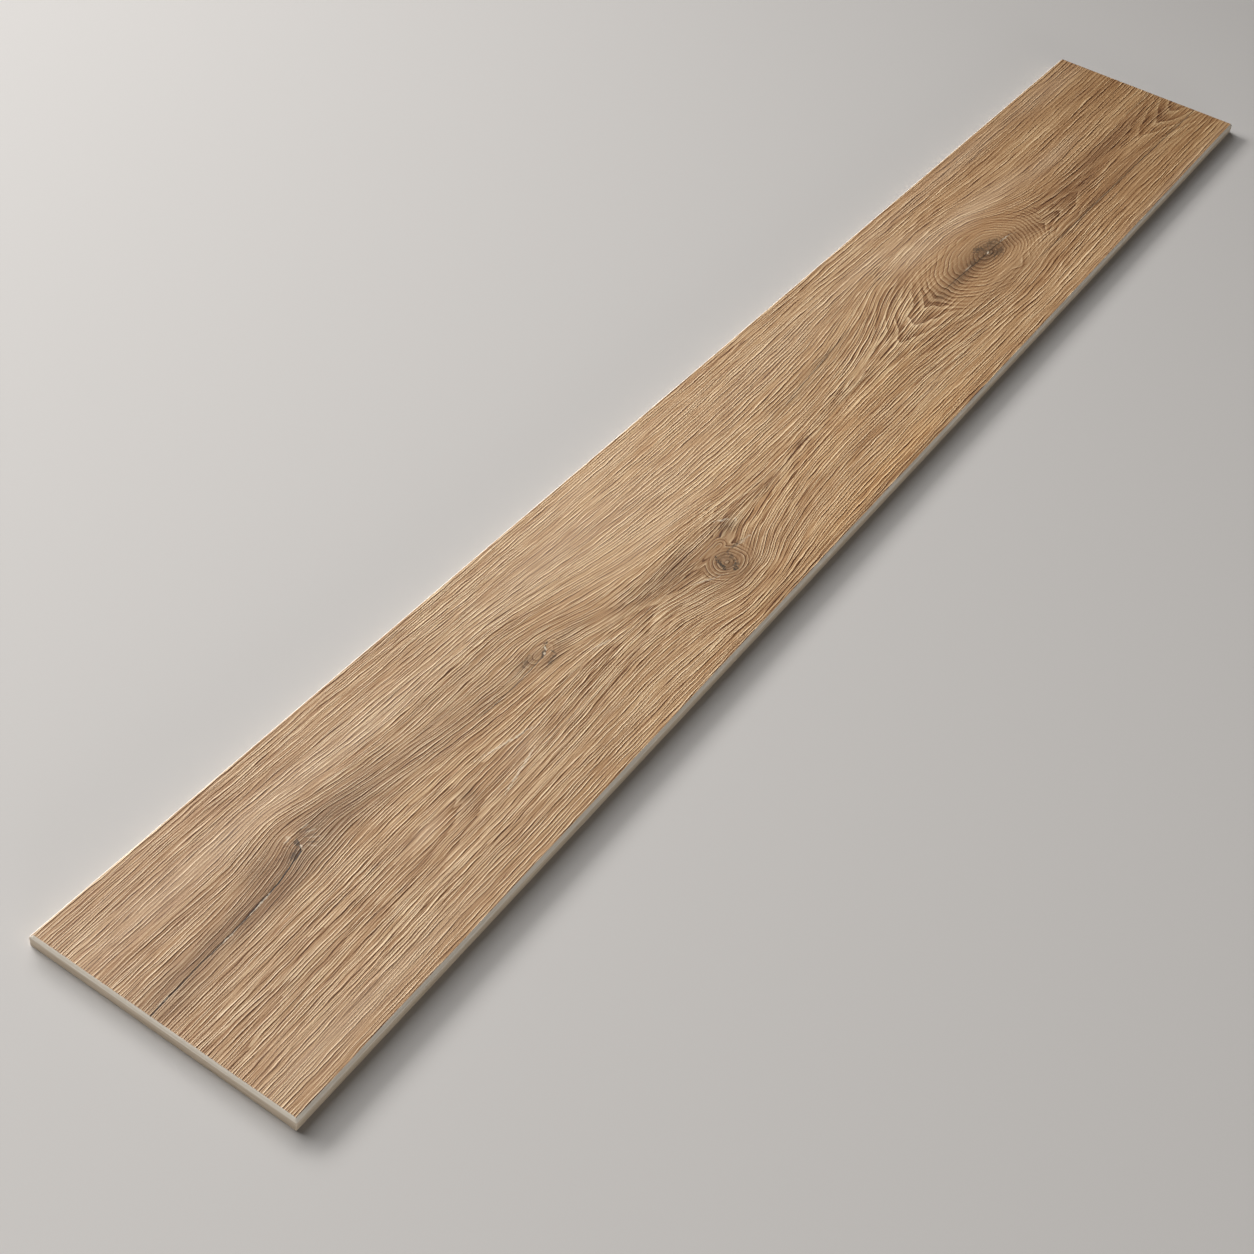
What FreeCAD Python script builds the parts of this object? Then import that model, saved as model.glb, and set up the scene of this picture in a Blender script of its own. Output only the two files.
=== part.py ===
"""Wood look porcelain plank tile: one pressed and fired plank, lying face up.

X runs along the plank, Y across it and Z up out of the wood face.
The origin is the middle of the back, on the surface that the plank lies on.
"""

import FreeCAD, Part
import math
import os

Vector = FreeCAD.Vector

# The fired plank, in millimetres
length = 1500.0
width = 200.0
thickness = 10.0

# Its edges: the bevel round the wood face, the worn upright corners and the eased lower arris
face_bevel = 2.0
corner_radius = 0.8
foot_bevel = 0.6

# The keyed back: rows of shallow panels that the adhesive grips, with flat ribs between them
key_depth = 0.6
key_pitch = 36.0
key_lean = 0.8
rib_width = 5.0
rim_width = 12.0


def closed_wire(points):
    """A closed polygon through the points."""
    return Part.makePolygon(points + points[:1])


def edge_profile(span):
    """The plank's outline over one span, as pairs of (offset from the middle, height)."""
    half = span / 2
    right = [
        (half - foot_bevel, 0.0),
        (half, foot_bevel),
        (half, thickness - face_bevel),
        (half - face_bevel, thickness),
    ]
    left = [(-offset, height) for offset, height in reversed(right)]
    return right + left


def long_prism():
    """The profile along the length, carried across the width: it bevels the two ends."""
    points = [Vector(offset, -width / 2, height) for offset, height in edge_profile(length)]
    return Part.Face(closed_wire(points)).extrude(Vector(0, width, 0))


def cross_prism():
    """The profile across the width, carried along the length: it bevels the two long sides."""
    points = [Vector(-length / 2, offset, height) for offset, height in edge_profile(width)]
    return Part.Face(closed_wire(points)).extrude(Vector(length, 0, 0))


def pressed_body():
    """The plank with its bevels mitred at the corners and its upright corners rounded."""
    plan = Part.makeBox(length, width, thickness, Vector(-length / 2, -width / 2, 0))
    uprights = [edge for edge in plan.Edges if abs(edge.tangentAt(edge.FirstParameter).z) > 0.99]
    rounded_plan = plan.makeFillet(corner_radius, uprights)
    return long_prism().common(cross_prism()).common(rounded_plan)


def key_rows(span):
    """The middles of the keys over one span of the back, and the size of each key."""
    keyed = span - 2 * rim_width
    count = max(1, math.floor((keyed + rib_width) / key_pitch))
    size = (keyed - (count - 1) * rib_width) / count
    first = -(count - 1) * (size + rib_width) / 2
    return [first + index * (size + rib_width) for index in range(count)], size


def drafted_key(size_x, size_y):
    """One sunk panel at the middle of the back, narrower at its floor than at its mouth."""
    half_x = size_x / 2
    half_y = size_y / 2
    floor_x = half_x - key_lean
    floor_y = half_y - key_lean
    key = Part.makeWedge(-half_x, 0, -half_y, -floor_y, -floor_x, half_x, key_depth, half_y, floor_y, floor_x)
    key.rotate(Vector(0, 0, 0), Vector(1, 0, 0), 90)
    return key


def back_keys():
    """The rows of keys over the whole back."""
    rows_x, size_x = key_rows(length)
    rows_y, size_y = key_rows(width)
    key = drafted_key(size_x, size_y)
    return Part.makeCompound([key.translated(Vector(x, y, 0)) for x in rows_x for y in rows_y])


def plank_tile():
    """The whole plank, as the single solid that comes out of the kiln."""
    return pressed_body().cut(back_keys()).Solids[0]


os.makedirs("parts", exist_ok=True)
plank_tile().exportStep("parts/plank_tile.step")
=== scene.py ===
"""Dresses the porcelain plank: a wood grain glaze in relief, pale bevels, a fired body and a keyed back."""

import math

import bpy
import numpy as np
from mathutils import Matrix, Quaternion, Vector


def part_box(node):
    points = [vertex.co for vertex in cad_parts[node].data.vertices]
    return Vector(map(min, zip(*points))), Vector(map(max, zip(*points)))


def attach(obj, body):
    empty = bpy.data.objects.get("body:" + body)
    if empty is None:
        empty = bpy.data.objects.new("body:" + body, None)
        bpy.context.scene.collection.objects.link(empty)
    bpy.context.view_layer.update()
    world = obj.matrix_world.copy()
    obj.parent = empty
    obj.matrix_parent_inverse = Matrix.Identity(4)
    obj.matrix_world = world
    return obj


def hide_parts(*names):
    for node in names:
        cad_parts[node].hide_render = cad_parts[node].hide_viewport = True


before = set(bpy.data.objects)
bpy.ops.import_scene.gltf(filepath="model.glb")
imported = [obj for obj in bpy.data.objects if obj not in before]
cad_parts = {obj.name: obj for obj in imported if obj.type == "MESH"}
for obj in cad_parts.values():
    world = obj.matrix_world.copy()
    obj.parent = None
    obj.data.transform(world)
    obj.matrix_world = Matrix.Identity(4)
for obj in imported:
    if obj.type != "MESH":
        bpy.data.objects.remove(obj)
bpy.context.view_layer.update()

NODE = "plank_tile"
MM = 0.001

# The plank, from its CAD box, in millimetres
low_corner, high_corner = (np.array(corner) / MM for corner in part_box(NODE))
LENGTH, WIDTH, THICKNESS = high_corner - low_corner

# Its edges and keyed back, in millimetres, as on the CAD solid
FACE_BEVEL = 2.0
CORNER_RADIUS = 0.8
FOOT_BEVEL = 0.6
KEY_DEPTH = 0.6
KEY_PITCH = 36.0
KEY_LEAN = 0.8
RIB_WIDTH = 5.0
RIM_WIDTH = 12.0

# Wear of the arris under the bevel, in millimetres, then points on it and on the eased foot as shares of them
ARRIS_ROUND = 0.3
ARRIS_MIDDLE = 0.3
ARRIS_END = 1.4
FOOT_INSET = 0.25
FOOT_HEIGHT = 0.55

# How finely the wood face is meshed: columns along each half, rows across, and extra columns by the knots
HALF_COLUMNS = 155
ROWS = 280
KNOT_PLACES = (326, -206, -616, -374)
KNOT_COLUMNS = 1.3
KNOT_REACH = 48.0
SPACING_STEPS = 2000
CORNER_STEPS = 4
SHARP_ANGLE = 35.0

# The surface unfolded onto a unit square: low and high edge of each strip along it and up it
WHOLE_LENGTH = (0.003, 0.997)
NEAR_END_SPAN = (0.010, 0.460)
FAR_END_SPAN = (0.510, 0.960)
NEAR_FACE_BAND = (0.595, 0.995)
FAR_FACE_BAND = (0.190, 0.590)
BACK_BAND = (0.055, 0.185)
RIGHT_SIDE_BAND = (0.003, 0.017)
LEFT_SIDE_BAND = (0.020, 0.034)
ENDS_BAND = (0.037, 0.051)

# Relief of the wood face: the deepest groove and crack, in millimetres, then shares of the height
GROOVE_DEPTH = 0.22
CRACK_DEPTH = 0.35
RIDGE_HEIGHT = 0.45
COARSE_HEIGHT = 0.5
MEAN_HEIGHT = 0.25

# Noises: size along each of their places, shift along the first place, detail. The first ten follow the
# fibres: their sizes are in streak lengths and fibre counts, or half spacings for coarse and band, or lines
# for wander and swell. The others are in millimetres, with knot_swell's third size in rings
NOISES = {
    "sway": ((1.4, 9), 0, 0),
    "ripple": ((0.25, 2.6), 7, 0),
    "teeth": ((0.9, 1.7), 11, 0),
    "calm": ((3, 26), 0, 1),
    "coarse": ((1.6, 2.1), 31, 0),
    "band": ((2.2, 4), 57, 1),
    "broad": ((4.5, 24), 0, 1),
    "pores": ((0.5, 0.5), 0, 0),
    "wander": ((0.75, 2), 0, 0),
    "swell": ((0.55, 0.6), 17, 0),
    "ring_wave": ((34, 14), 0, 1),
    "knot_swell": ((16, 10, 1), 0, 0),
    "crack_jitter": ((7, 40), 0, 2),
    "mark_rim": ((2.5, 1.6), 0, 2),
    "pressing_lines": ((60, 0.9), 0, 2),
    "body_cloud": ((35, 35, 5), 0, 2),
    "back_cloud": ((60, 60), 0, 4),
    "back_grit": ((1.3, 1.3), 0, 2),
}

# How far the fibres sway and ripple, in half spacings, how far the rings wave, and the limits of crowding
SWAY = 1.4
RIPPLE = 0.75
RING_WAVE = 0.6
KNOT_WAVE = 0.9
CROWDING_LIMITS = (0.25, 8.0)

# Single grain lines: how far they wander, how they swell and fade, and a finer set of them
WANDER = 0.55
SWELL_LIMITS = (0.25, 0.75)
SWELL = (0.15, 1.6)
KNOT_SWELL_LIMITS = (0.3, 0.7)
KNOT_SWELL = (0.1, 0.9)
CALM_LIMITS = (0.35, 0.65)
CALM = (0.75, 1.1)
FINE_SPACING = 0.58
FINE_SHIFT = 40.0
FINE_WEIGHT = 0.34

# One grain line, in shares of the spacing: the places of its flanks and ridge, and their reach. The flanks
# are partly grain and partly painted light: shade on the ridge's side away from the main lamps, a highlight
# on the side towards them
DARK_AND_SHADED_FLANK = 0.38
PALE_AND_LIT_FLANK = 0.62
RIDGE = 0.50
FLANK_REACH = (0.18, 0.04)
RIDGE_REACH = (0.28, 0.03)
DARK_WEIGHT = 1.15

# What changes over a stretch of x: the strength of the broad bands and of the rings' teeth
BROAD_STRETCH = (150.0, 550.0)
BROAD_STRENGTH = (1.0, 1.9)
TEETH_STRETCH = (-300.0, 100.0)
TEETH_STRENGTH = (0.45, 0.12)

# Late wood and pale rim, in shares of a growth ring, and the pores of the print
LATE_WOOD = (0.0, 0.6)
PALE_RIM = (0.62, 0.94)
PORE_LIMITS = (0.62, 0.74)

# Weights in the tone of the print
MEAN_TONE = 0.52
TONE_WEIGHTS = {"coarse": 0.10, "band": 0.22, "broad": 0.22, "late": -0.26, "pale_rim": 0.28, "pores": -0.10}

# Colours of the print, from its darkest tone to its palest, as read on a screen from 0 to 255
WOOD_TONES = [
    (0.0, (98, 62, 34)),
    (0.25, (148, 107, 70)),
    (0.5, (192, 154, 116)),
    (0.75, (216, 185, 150)),
    (1.0, (244, 220, 188)),
]
STAIN_TONES = [(0.74, (140, 122, 104)), (0.84, (150, 112, 76))]
PALE_PATCH = (226, 198, 166)
CRACK_COLOUR = (50, 37, 26)
STAIN_COVER = 0.9

# What the print is multiplied by, from the near end to the far one, and where it is warm. The change along
# the plank is partly the print's own browner tone and partly painted light that sets how bright the face is
# along it
DRIFT = [
    (0.0, (0.87, 0.82, 0.75)),
    (0.25, (0.92, 0.88, 0.79)),
    (0.42, (0.98, 0.92, 0.80)),
    (0.58, (0.93, 0.87, 0.75)),
    (0.75, (0.89, 0.81, 0.68)),
    (1.0, (0.75, 0.65, 0.49)),
]
WARM_TINT = (1.0, 0.91, 0.78)

# Cracks: how ragged they are, and how soft their sides and their thin ends are, in millimetres
CRACK_JITTER = 1.2
CRACK_SIDES = (0.4, -0.1)
CRACK_ENDS = (0.1, 0.4)
NO_CRACK = 100.0

# The broken rims of the small marks
MARK_ROUGHNESS = 3.2
MARK_RIM = (2.6, 1.5)

# The bare body: its colours below and at the bevel, its pressing lines and clouds, and painted shade, darker
# towards the floor and paler upwards
BODY_TONES = [(0.2, (171, 154, 131)), (0.8, (200, 184, 163))]
RIM_TONES = [(0.3, (208, 196, 178)), (1.0, (232, 222, 207))]
RIM_BELOW_BEVEL = 1.0
RIM_ABOVE_BEVEL = 0.2
LINE_TONE = 1.1
CLOUD_TONE = 0.4
PAINTED_SHADE_HEIGHTS = (1.0, 7.5)
PAINTED_SHADE = (-0.2, 0.2)

# The print that runs over the upper half of the left bevel: its colour, cover and soft edges
WRAPPED_COLOUR = (160, 124, 90)
WRAPPED_COVER = 0.85
WRAPPED_BELOW = (1.0, 0.6)
WRAPPED_SIDE = 0.2

# The unglazed back and the wash on its ribs
BACK_TONES = [(0.2, (150, 130, 106)), (0.8, (186, 166, 140))]
WASH_COLOUR = (206, 197, 183)
WASH_COVER = 0.6
WASH_UNREST = 1.2
BACK_GRIT_TONE = 0.8
BACK_CLOUD_TONE = 0.5

# The floor, in metres, and the ring in which it runs into the backdrop, past all that the photo shows
FLOOR_COLOUR = (201, 197, 193)
FLOOR_REACH = 6.0
FLOOR_FADE = (1.15, 2.5)
BACKDROP_COLOUR = (200, 197, 193)
SURROUND_COLOUR = (1.0, 0.99, 0.975)
SURROUND_STRENGTH = 0.03

# Lamps, fitted to the floor and the shadows in the photo: name, place, point that it faces, width, height,
# power in watts, spread in degrees
KEY_AIM = (-1.4, 0.35, 0.0)
FILL_AIM = (-0.1, 0.0, 0.0)
LAMPS = [
    ("low_key", (-0.55, 5.0, 1.85), KEY_AIM, 5.7, 0.95, 98.0, 80.0),
    ("middle_key", (2.4, 5.0, 2.85), KEY_AIM, 6.0, 1.5, 52.0, 80.0),
    ("high_key", (-0.3, 2.8, 3.65), KEY_AIM, 2.2, 3.3, 19.5, 80.0),
    ("right_fill", (-6.35, -7.6, 0.8), FILL_AIM, 6.0, 1.0, 400.0, 180.0),
]

# Camera, fitted to the corners and edges in the 1254 pixel square picture
PICTURE_SIDE = 1254.0
FOCAL_PIXELS = 1861.9
SENSOR_WIDTH = 36.0
CAMERA_PLACE = (-1.1584, -0.4604, 0.9117)
CAMERA_AIM = (-0.3120, -0.0262, 0.0100)
CAMERA_ROLL = 9.0

# The streaks of the grain, along the plank: x, spacing of the streaks, length that they run for, contrast
STREAKS = [
    (-750, 2.1, 48.0, 0.60),
    (-300, 2.3, 54.0, 0.60),
    (0, 2.6, 64.0, 0.64),
    (450, 3.2, 80.0, 0.35),
    (750, 3.5, 92.0, 0.31),
]

# Grain lines, from the left long edge to the right one: the place of each in the fibre count, then its path
# along the plank as (x, y)
GRAIN_LINES = [
    (100.0, [(-750, 100), (750, 100)]),
    (65.0, [(-750, 70), (-600, 73), (-450, 70), (-350, 67), (-250, 62), (-100, 60), (50, 63), (150, 66),
            (300, 66), (400, 62), (500, 59), (750, 60)]),
    (18.0, [(-750, 42), (-650, 42), (-603, 47), (-570, 42), (-530, 36), (-480, 33), (-390, 33), (-350, 28),
            (-320, 21), (-280, 13), (-250, 8), (-190, 3), (-130, -2), (-60, -3), (0, -2), (60, 2), (110, 9),
            (150, 18), (200, 32), (250, 37), (310, 40), (360, 34), (400, 22), (450, 10), (500, 6), (600, 7),
            (750, 9)]),
    (2.0, [(-750, 8), (-680, 11), (-625, 17), (-603, 23), (-575, 23), (-550, 19), (-500, 12), (-450, 6),
           (-400, 3), (-368, 4), (-340, -2), (-300, -11), (-250, -12), (-200, -12), (-160, -14), (-100, -16),
           (-50, -15), (0, -12), (60, -8), (100, -4), (140, 2), (200, 16), (250, 22), (326, 21), (370, 12),
           (400, -3), (430, -12), (480, -18), (560, -20), (750, -20)]),
    (-4.0, [(-750, -1), (-680, 1), (-620, 4), (-603, 6), (-570, 8), (-540, 7), (-500, 4), (-450, -1),
            (-400, -5), (-368, -6), (-340, -11), (-300, -18), (-250, -21), (-200, -22), (-160, -20),
            (-100, -19), (0, -14), (60, -10), (100, -6), (140, -2), (200, 10), (250, 15), (326, 14),
            (370, 6), (400, -7), (430, -16), (480, -21), (560, -23), (750, -24)]),
    (-28.0, [(-750, -38), (-600, -35), (-450, -33), (-350, -29), (-290, -31), (-250, -38), (-205, -45),
             (-160, -33), (-100, -25), (0, -20), (100, -15), (200, -9), (326, -10), (380, -16), (420, -27),
             (500, -30), (620, -33), (750, -37)]),
    (-52.0, [(-750, -60), (-600, -56), (-500, -55), (-400, -52), (-330, -49), (-290, -51), (-250, -60),
             (-215, -68), (-190, -67), (-150, -55), (-100, -47), (-50, -43), (0, -42), (100, -43),
             (150, -46), (200, -50), (250, -54), (290, -56), (330, -55), (380, -51), (450, -50),
             (600, -51), (750, -56)]),
    (-76.0, [(-750, -78), (-600, -76), (-450, -74), (-350, -74), (-280, -78), (-230, -84), (-190, -83),
             (-150, -77), (-100, -72), (0, -70), (100, -71), (200, -74), (300, -77), (400, -75), (500, -74),
             (750, -76)]),
    (-100.0, [(-750, -100), (750, -100)]),
]

# The heart of the figure, along the plank: x, y, count of ring lines met there, half width of one, strength
HEART = [
    (-750, -41, 7, 13, 0.5), (-680, -37, 6, 13, 0.55), (-568, -34, 5, 13, 0.35),
    (-510, -33, 4, 13, 0.75), (-425, -33, 3, 15, 0.32), (-320, -30, 2, 16, 0.45),
    (-277, -31, 1, 14, 0.65), (-250, -36, 0.6, 14, 0.4), (-206, -42, 1.2, 12, 0.3),
    (-184, -33, 1.7, 11, 0.5), (-160, -25.5, 2, 11, 1), (-83, -23, 1, 12, 0.45),
    (-40, -20, 0.5, 14, 0.2), (35, -16, 0.3, 18, 0.2), (100, -14, 0.6, 15, 0.5),
    (138, -14, 1, 15, 1.15), (168, -9, 2, 15, 1.25), (204, -7, 3, 15, 1.15),
    (218, -7, 3.8, 14, 0.9), (232, -7, 5, 13, 0.6), (250, -7, 7, 11, 0.3),
    (308, -9, 12, 10.3, 0.25), (326, -10, 13, 10.3, 0.25), (352, -10, 12, 10, 0.25),
    (372, -11, 9, 9.5, 0.4), (390, -17, 6, 8.5, 0.6), (414, -28, 3, 8.5, 1),
    (452, -30, 2, 10, 1), (497, -29, 1, 13, 0.5), (560, -32, 0.5, 15, 0.15),
    (643, -35, 1, 15, 0.45), (688, -36, 2, 13, 1), (722, -38, 3, 12, 1),
    (750, -38, 3.8, 12, 0.9),
]
RING_POINT = 1.3
FIGURE_REACH = 34.0

# Oval rings round the knots: x, y, count of ring lines in the middle, then the spacing of the lines towards
# the near end, towards the far end and across
RING_OVALS = [
    (326, -10, 18.8, 6.9, 5.7, 2.9),
    (-206, -45, 8, 3.5, 3.5, 2.6),
    (-194, -31, 4.2, 22, 3.4, 2.4),
    (-616, 26.5, 4, 11, 4.5, 2.4),
    (-374, 5.5, 5, 5, 5.5, 2.4),
]

# Knots whose rings turn the fibres with them: x, y, half length, half width, strength
RINGED_KNOTS = [
    (310, -10, 94, 35, 0.9),
    (-206, -43, 24, 19, 0.95),
    (-192, -31, 18, 9, 0.9),
    (-618, 28, 18, 6, 0.25),
    (-373, 6, 17, 8, 0.5),
]
RINGED_REACH = 1.6

# Grey brown stains and, below zero, pale patches: x, y, half length, half width, amount
STAINS = [
    (-600, 43, 130, 4, 0.22), (-440, 35, 120, 6, 0.2), (-630, 5, 45, 4, 0.3),
    (-690, 12, 80, 9, 0.34), (-640, 15, 60, 8, 0.3), (-622, 29, 36, 6, 0.46),
    (-612, 21, 9, 3, 0.35), (-570, 25, 50, 12, 0.44), (-490, 12, 90, 13, 0.24),
    (-420, 3, 55, 6, 0.12), (-386, 8, 14, 4, 0.6), (-372, -4, 14, 4, 0.55),
    (-345, 2, 20, 4, 0.35), (-285, -13, 45, 7, 0.32), (-248, -24, 30, 10, 0.4),
    (-205, -45, 62, 24, 0.28), (-205, -14, 40, 6, 0.22), (-206, -44, 24, 15, 0.36),
    (-172, -25, 15, 8, 0.55), (-118, -22, 42, 6, 0.34), (-735, 1, 36, 6, 0.34),
    (-508, -33, 10, 6, 0.5), (-690, -39, 30, 7, 0.1), (72, 26, 46, 4, 0.34),
    (50, -12, 30, 5, 0.22), (-30, -96, 200, 4, 0.4), (10, 18, 60, 4, 0.3),
    (152, -10, 12, 8, 0.12), (186, -8, 12, 12, 0.06), (222, -8, 16, 12, 0.25),
    (300, 0, 45, 14, 0.28), (330, -9, 30, 12, 0.42), (365, -16, 30, 9, 0.32),
    (310, -45, 60, 8, 0.18), (272, -8, 46, 9, 0.46), (400, -25, 24, 6, 0.3),
    (440, -29, 12, 4, 0.3), (480, -28, 58, 8, 0.26), (480, -50, 100, 4, 0.32),
    (600, -14, 170, 9, 0.45), (700, 51, 60, 5, 0.25), (505, -29, 40, 5, 0.3),
    (610, -52, 130, 8, 0.18), (-95, -83, 90, 8, 0.18), (90, -38, 80, 12, 0.12),
    (280, -38, 90, 10, 0.16), (-466, -12, 80, 10, 0.07), (670, -12, 60, 9, 0.1),
    (-205, -60, 22, 5, 0.2), (-190, -90, 60, 6, 0.28), (-718, 15, 40, 7, 0.18),
    (712, -33, 28, 7, 0.55), (-640, 60, 110, 11, -0.3), (-500, 50, 70, 12, -0.24),
    (-290, 55, 90, 24, -0.12), (-190, 40, 110, 22, -0.16), (-200, 86, 120, 9, -0.22),
    (-215, 12, 60, 8, -0.22), (60, 60, 120, 20, -0.14), (276, 44, 50, 13, -0.34),
    (370, 36, 62, 12, -0.34), (450, 30, 50, 9, -0.18), (230, 66, 60, 7, -0.28),
    (530, 18, 60, 8, -0.25), (680, 76, 80, 9, -0.18), (-650, -83, 90, 8, -0.22),
    (465, 86, 90, 9, -0.26), (280, 86, 90, 9, -0.16), (650, 88, 90, 8, -0.16),
    (600, -95, 180, 4, -0.2), (-280, 62, 90, 12, -0.14), (-452, -35, 22, 7, -0.18),
    (179, -9, 9, 10, -0.18), (-702, -38, 14, 6, -0.14), (-548, -31, 16, 6, -0.26),
    (-705, -72, 60, 16, -0.16), (-614, 29, 12, 3, -0.4), (-603, 32, 5, 3, -0.6),
]

# Patches where the print is warmer: x, y, half length, half width, amount
WARM_PATCHES = [
    (-30, -88, 170, 14, 0.9), (90, -35, 120, 16, 0.45), (-100, -35, 120, 14, 0.35),
    (-480, -12, 110, 16, 0.35), (-700, -65, 100, 10, 0.3), (-250, -93, 150, 6, 0.35),
    (700, -12, 60, 12, 0.4),
]

# Cracks and thin dark streaks: how dark each is, then its path as (x, y, width)
CRACKS = [
    (0.95, [(-750, 7.4, 0.5), (-733, 8.3, 0.45), (-711, 9.8, 0.5), (-682, 10.6, 0.45), (-660, 11.9, 0.7),
            (-634, 13.9, 0.75), (-618, 17.2, 0.6), (-607, 19.6, 0.8), (-604.5, 21.5, 0.7), (-602, 26, 0.6),
            (-600, 29, 0.2)]),
    (0.7, [(-470, 6.5, 0.1), (-430, 1, 0.4), (-395, 1.4, 0.5), (-378, 2.6, 0.7), (-371, 3.2, 0.8),
           (-366, 6, 0.8), (-361, 10, 0.3)]),
    (0.7, [(236, -6.5, 0.2), (262, -7.2, 0.6), (300, -8.8, 0.9), (350, -10.2, 0.8), (370, -11, 0.7),
           (380, -16, 0.2)]),
    (0.7, [(352, -50.6, 0.2), (400, -51.2, 0.9), (470, -51.8, 1.1), (560, -53, 0.8), (660, -55, 0.8),
           (750, -57, 0.6)]),
    (0.5, [(-10, 18, 0.2), (40, 22, 0.8), (85, 26, 1), (130, 30, 0.2)]),
    (0.5, [(-62, -15, 0.2), (-35, -17, 0.7), (-8, -20, 0.2)]),
    (0.5, [(676, -4, 0.2), (710, -5, 0.7), (750, -5, 0.7)]),
]

# Small marks by the knots and along the rings: kind, x, y, half length, half width, lean in degrees, amount.
# The pale chips at x -737, -681 and -650, along the first crack, are a painted highlight on its rim
MARK_COLOURS = {"dark": (64, 53, 41), "wood": (160, 128, 96), "chip_and_highlight": (226, 208, 182)}
MARKS = [
    ("dark", 324, 0, 9, 4.2, 0, 0.62), ("dark", 335, -17, 13, 4.6, 0, 0.48),
    ("dark", 300, -7, 10, 4, 0, 0.48), ("dark", 331, -9, 29, 15, 0, 0.34),
    ("dark", 346, -5, 14, 4.6, -8, 0.4), ("dark", 268, -9, 24, 5, 0, 0.26),
    ("dark", 228, -10, 10, 4, -20, 0.26), ("dark", 327, -10, 2.2, 11, 0, 0.5),
    ("chip_and_highlight", 326, -9.5, 3.4, 1.1, 0, 0.95), ("chip_and_highlight", 287, -7, 8, 1, 0, 0.45),
    ("chip_and_highlight", 361, -10.6, 10, 1, -4, 0.5), ("dark", -206, -45, 12.5, 8, 60, 0.28),
    ("dark", -211, -43, 9.5, 2.2, 62, 0.95), ("dark", -205, -52.5, 6.5, 2.4, 20, 0.9),
    ("dark", -198.5, -45, 8, 2.4, 70, 0.5), ("wood", -206, -43, 5, 2, 66, 0.6),
    ("chip_and_highlight", -233, -44, 14, 1.2, -27, 0.5), ("chip_and_highlight", -176, -42, 12, 1.2, -4, 0.45),
    ("dark", -186, -40, 12, 1.5, -6, 0.6), ("dark", -168, -25, 9, 5, 0, 0.25),
    ("chip_and_highlight", -168, -17.5, 8, 1.4, -32, 0.55), ("chip_and_highlight", -160, -25, 3.5, 1.2, 40, 0.5),
    ("dark", -373, -4, 8, 1.8, 12, 0.6), ("dark", -386, 8.5, 8, 1.8, 15, 0.45),
    ("dark", -371, 4.2, 8, 1.8, 25, 0.8), ("dark", -362, 9, 3, 1.8, 30, 0.6),
    ("dark", -365.5, 0, 3, 0.9, 80, 0.7), ("chip_and_highlight", -370.5, 3.6, 2, 0.9, 20, 0.9),
    ("chip_and_highlight", -366.6, 5.6, 2.2, 1, 50, 0.9), ("dark", -603, 26, 4, 2.2, 50, 0.75),
    ("dark", -612, 20.6, 8, 1.8, 18, 0.6), ("chip_and_highlight", -604.5, 32, 5, 1.8, 12, 0.35),
    ("chip_and_highlight", -591, 30.5, 5, 0.9, -12, 0.34), ("dark", -593, 28, 6, 0.9, -18, 0.45),
    ("chip_and_highlight", -591, 25.5, 6, 0.9, -24, 0.34), ("dark", -594, 23.5, 6, 0.9, -32, 0.5),
    ("chip_and_highlight", -593, 20.5, 5, 0.9, -40, 0.34), ("dark", -597, 19, 5, 0.9, -50, 0.5),
    ("chip_and_highlight", -598.5, 16.5, 4, 0.9, -55, 0.34), ("chip_and_highlight", -604, 21, 2.4, 1, 60, 0.8),
    # the pale chips at x -681, -737 and -650 lie along the first crack: a painted highlight on its rim
    ("chip_and_highlight", -681, 10, 7, 0.8, 2, 0.8), ("chip_and_highlight", -737, 8.9, 6, 0.7, 3, 0.6),
    ("chip_and_highlight", -650, 12, 12, 0.8, 5, 0.5), ("chip_and_highlight", -455, -25, 32, 1.2, -13, 0.55),
    ("chip_and_highlight", -468, -46, 27, 1.2, 11, 0.55), ("chip_and_highlight", -335, -23, 14, 1.4, -18, 0.4),
]


def steady_curve(at, knots, values):
    """A smooth curve through the values that never overshoots them."""
    at = np.clip(at, knots[0], knots[-1])
    spans = np.diff(knots)
    slopes = np.diff(values) / spans
    before, after = slopes[:-1], slopes[1:]
    same_way = before * after > 0
    inner = np.zeros(len(before))
    inner[same_way] = 2 / (1 / before[same_way] + 1 / after[same_way])
    tangents = np.concatenate([slopes[:1], inner, slopes[-1:]])
    index = np.clip(np.searchsorted(knots, at) - 1, 0, len(spans) - 1)
    span = spans[index]
    t = (at - knots[index]) / span
    return (
        values[index] * (1 + 2 * t) * (1 - t) ** 2
        + tangents[index] * span * t * (1 - t) ** 2
        + values[index + 1] * t**2 * (3 - 2 * t)
        + tangents[index + 1] * span * t**2 * (t - 1)
    )


def fibre_field(columns, rows):
    """Where each point lies along and across the fibres, and how often their crowding has doubled there."""
    paths = np.array([steady_curve(columns, *np.array(path, float).T) for place, path in GRAIN_LINES])
    places = np.array([place for place, path in GRAIN_LINES])
    across = np.empty((len(columns), len(rows)))
    for index in range(len(columns)):
        across[index] = steady_curve(rows, paths[::-1, index], places[::-1])
    streak_x, spacing, run = np.array(STREAKS, float).T[:3]
    half_spacing = steady_curve(columns, streak_x, spacing)[:, None] / 2
    crowding = np.log2(np.clip(np.gradient(across, rows, axis=1), *CROWDING_LIMITS) * half_spacing)
    runs = 1 / steady_curve(columns, streak_x, run)
    along = np.concatenate([[0], np.cumsum((runs[1:] + runs[:-1]) / 2 * np.diff(columns))])
    return np.stack([np.repeat(along[:, None], len(rows), axis=1), across, crowding], axis=-1)


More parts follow.
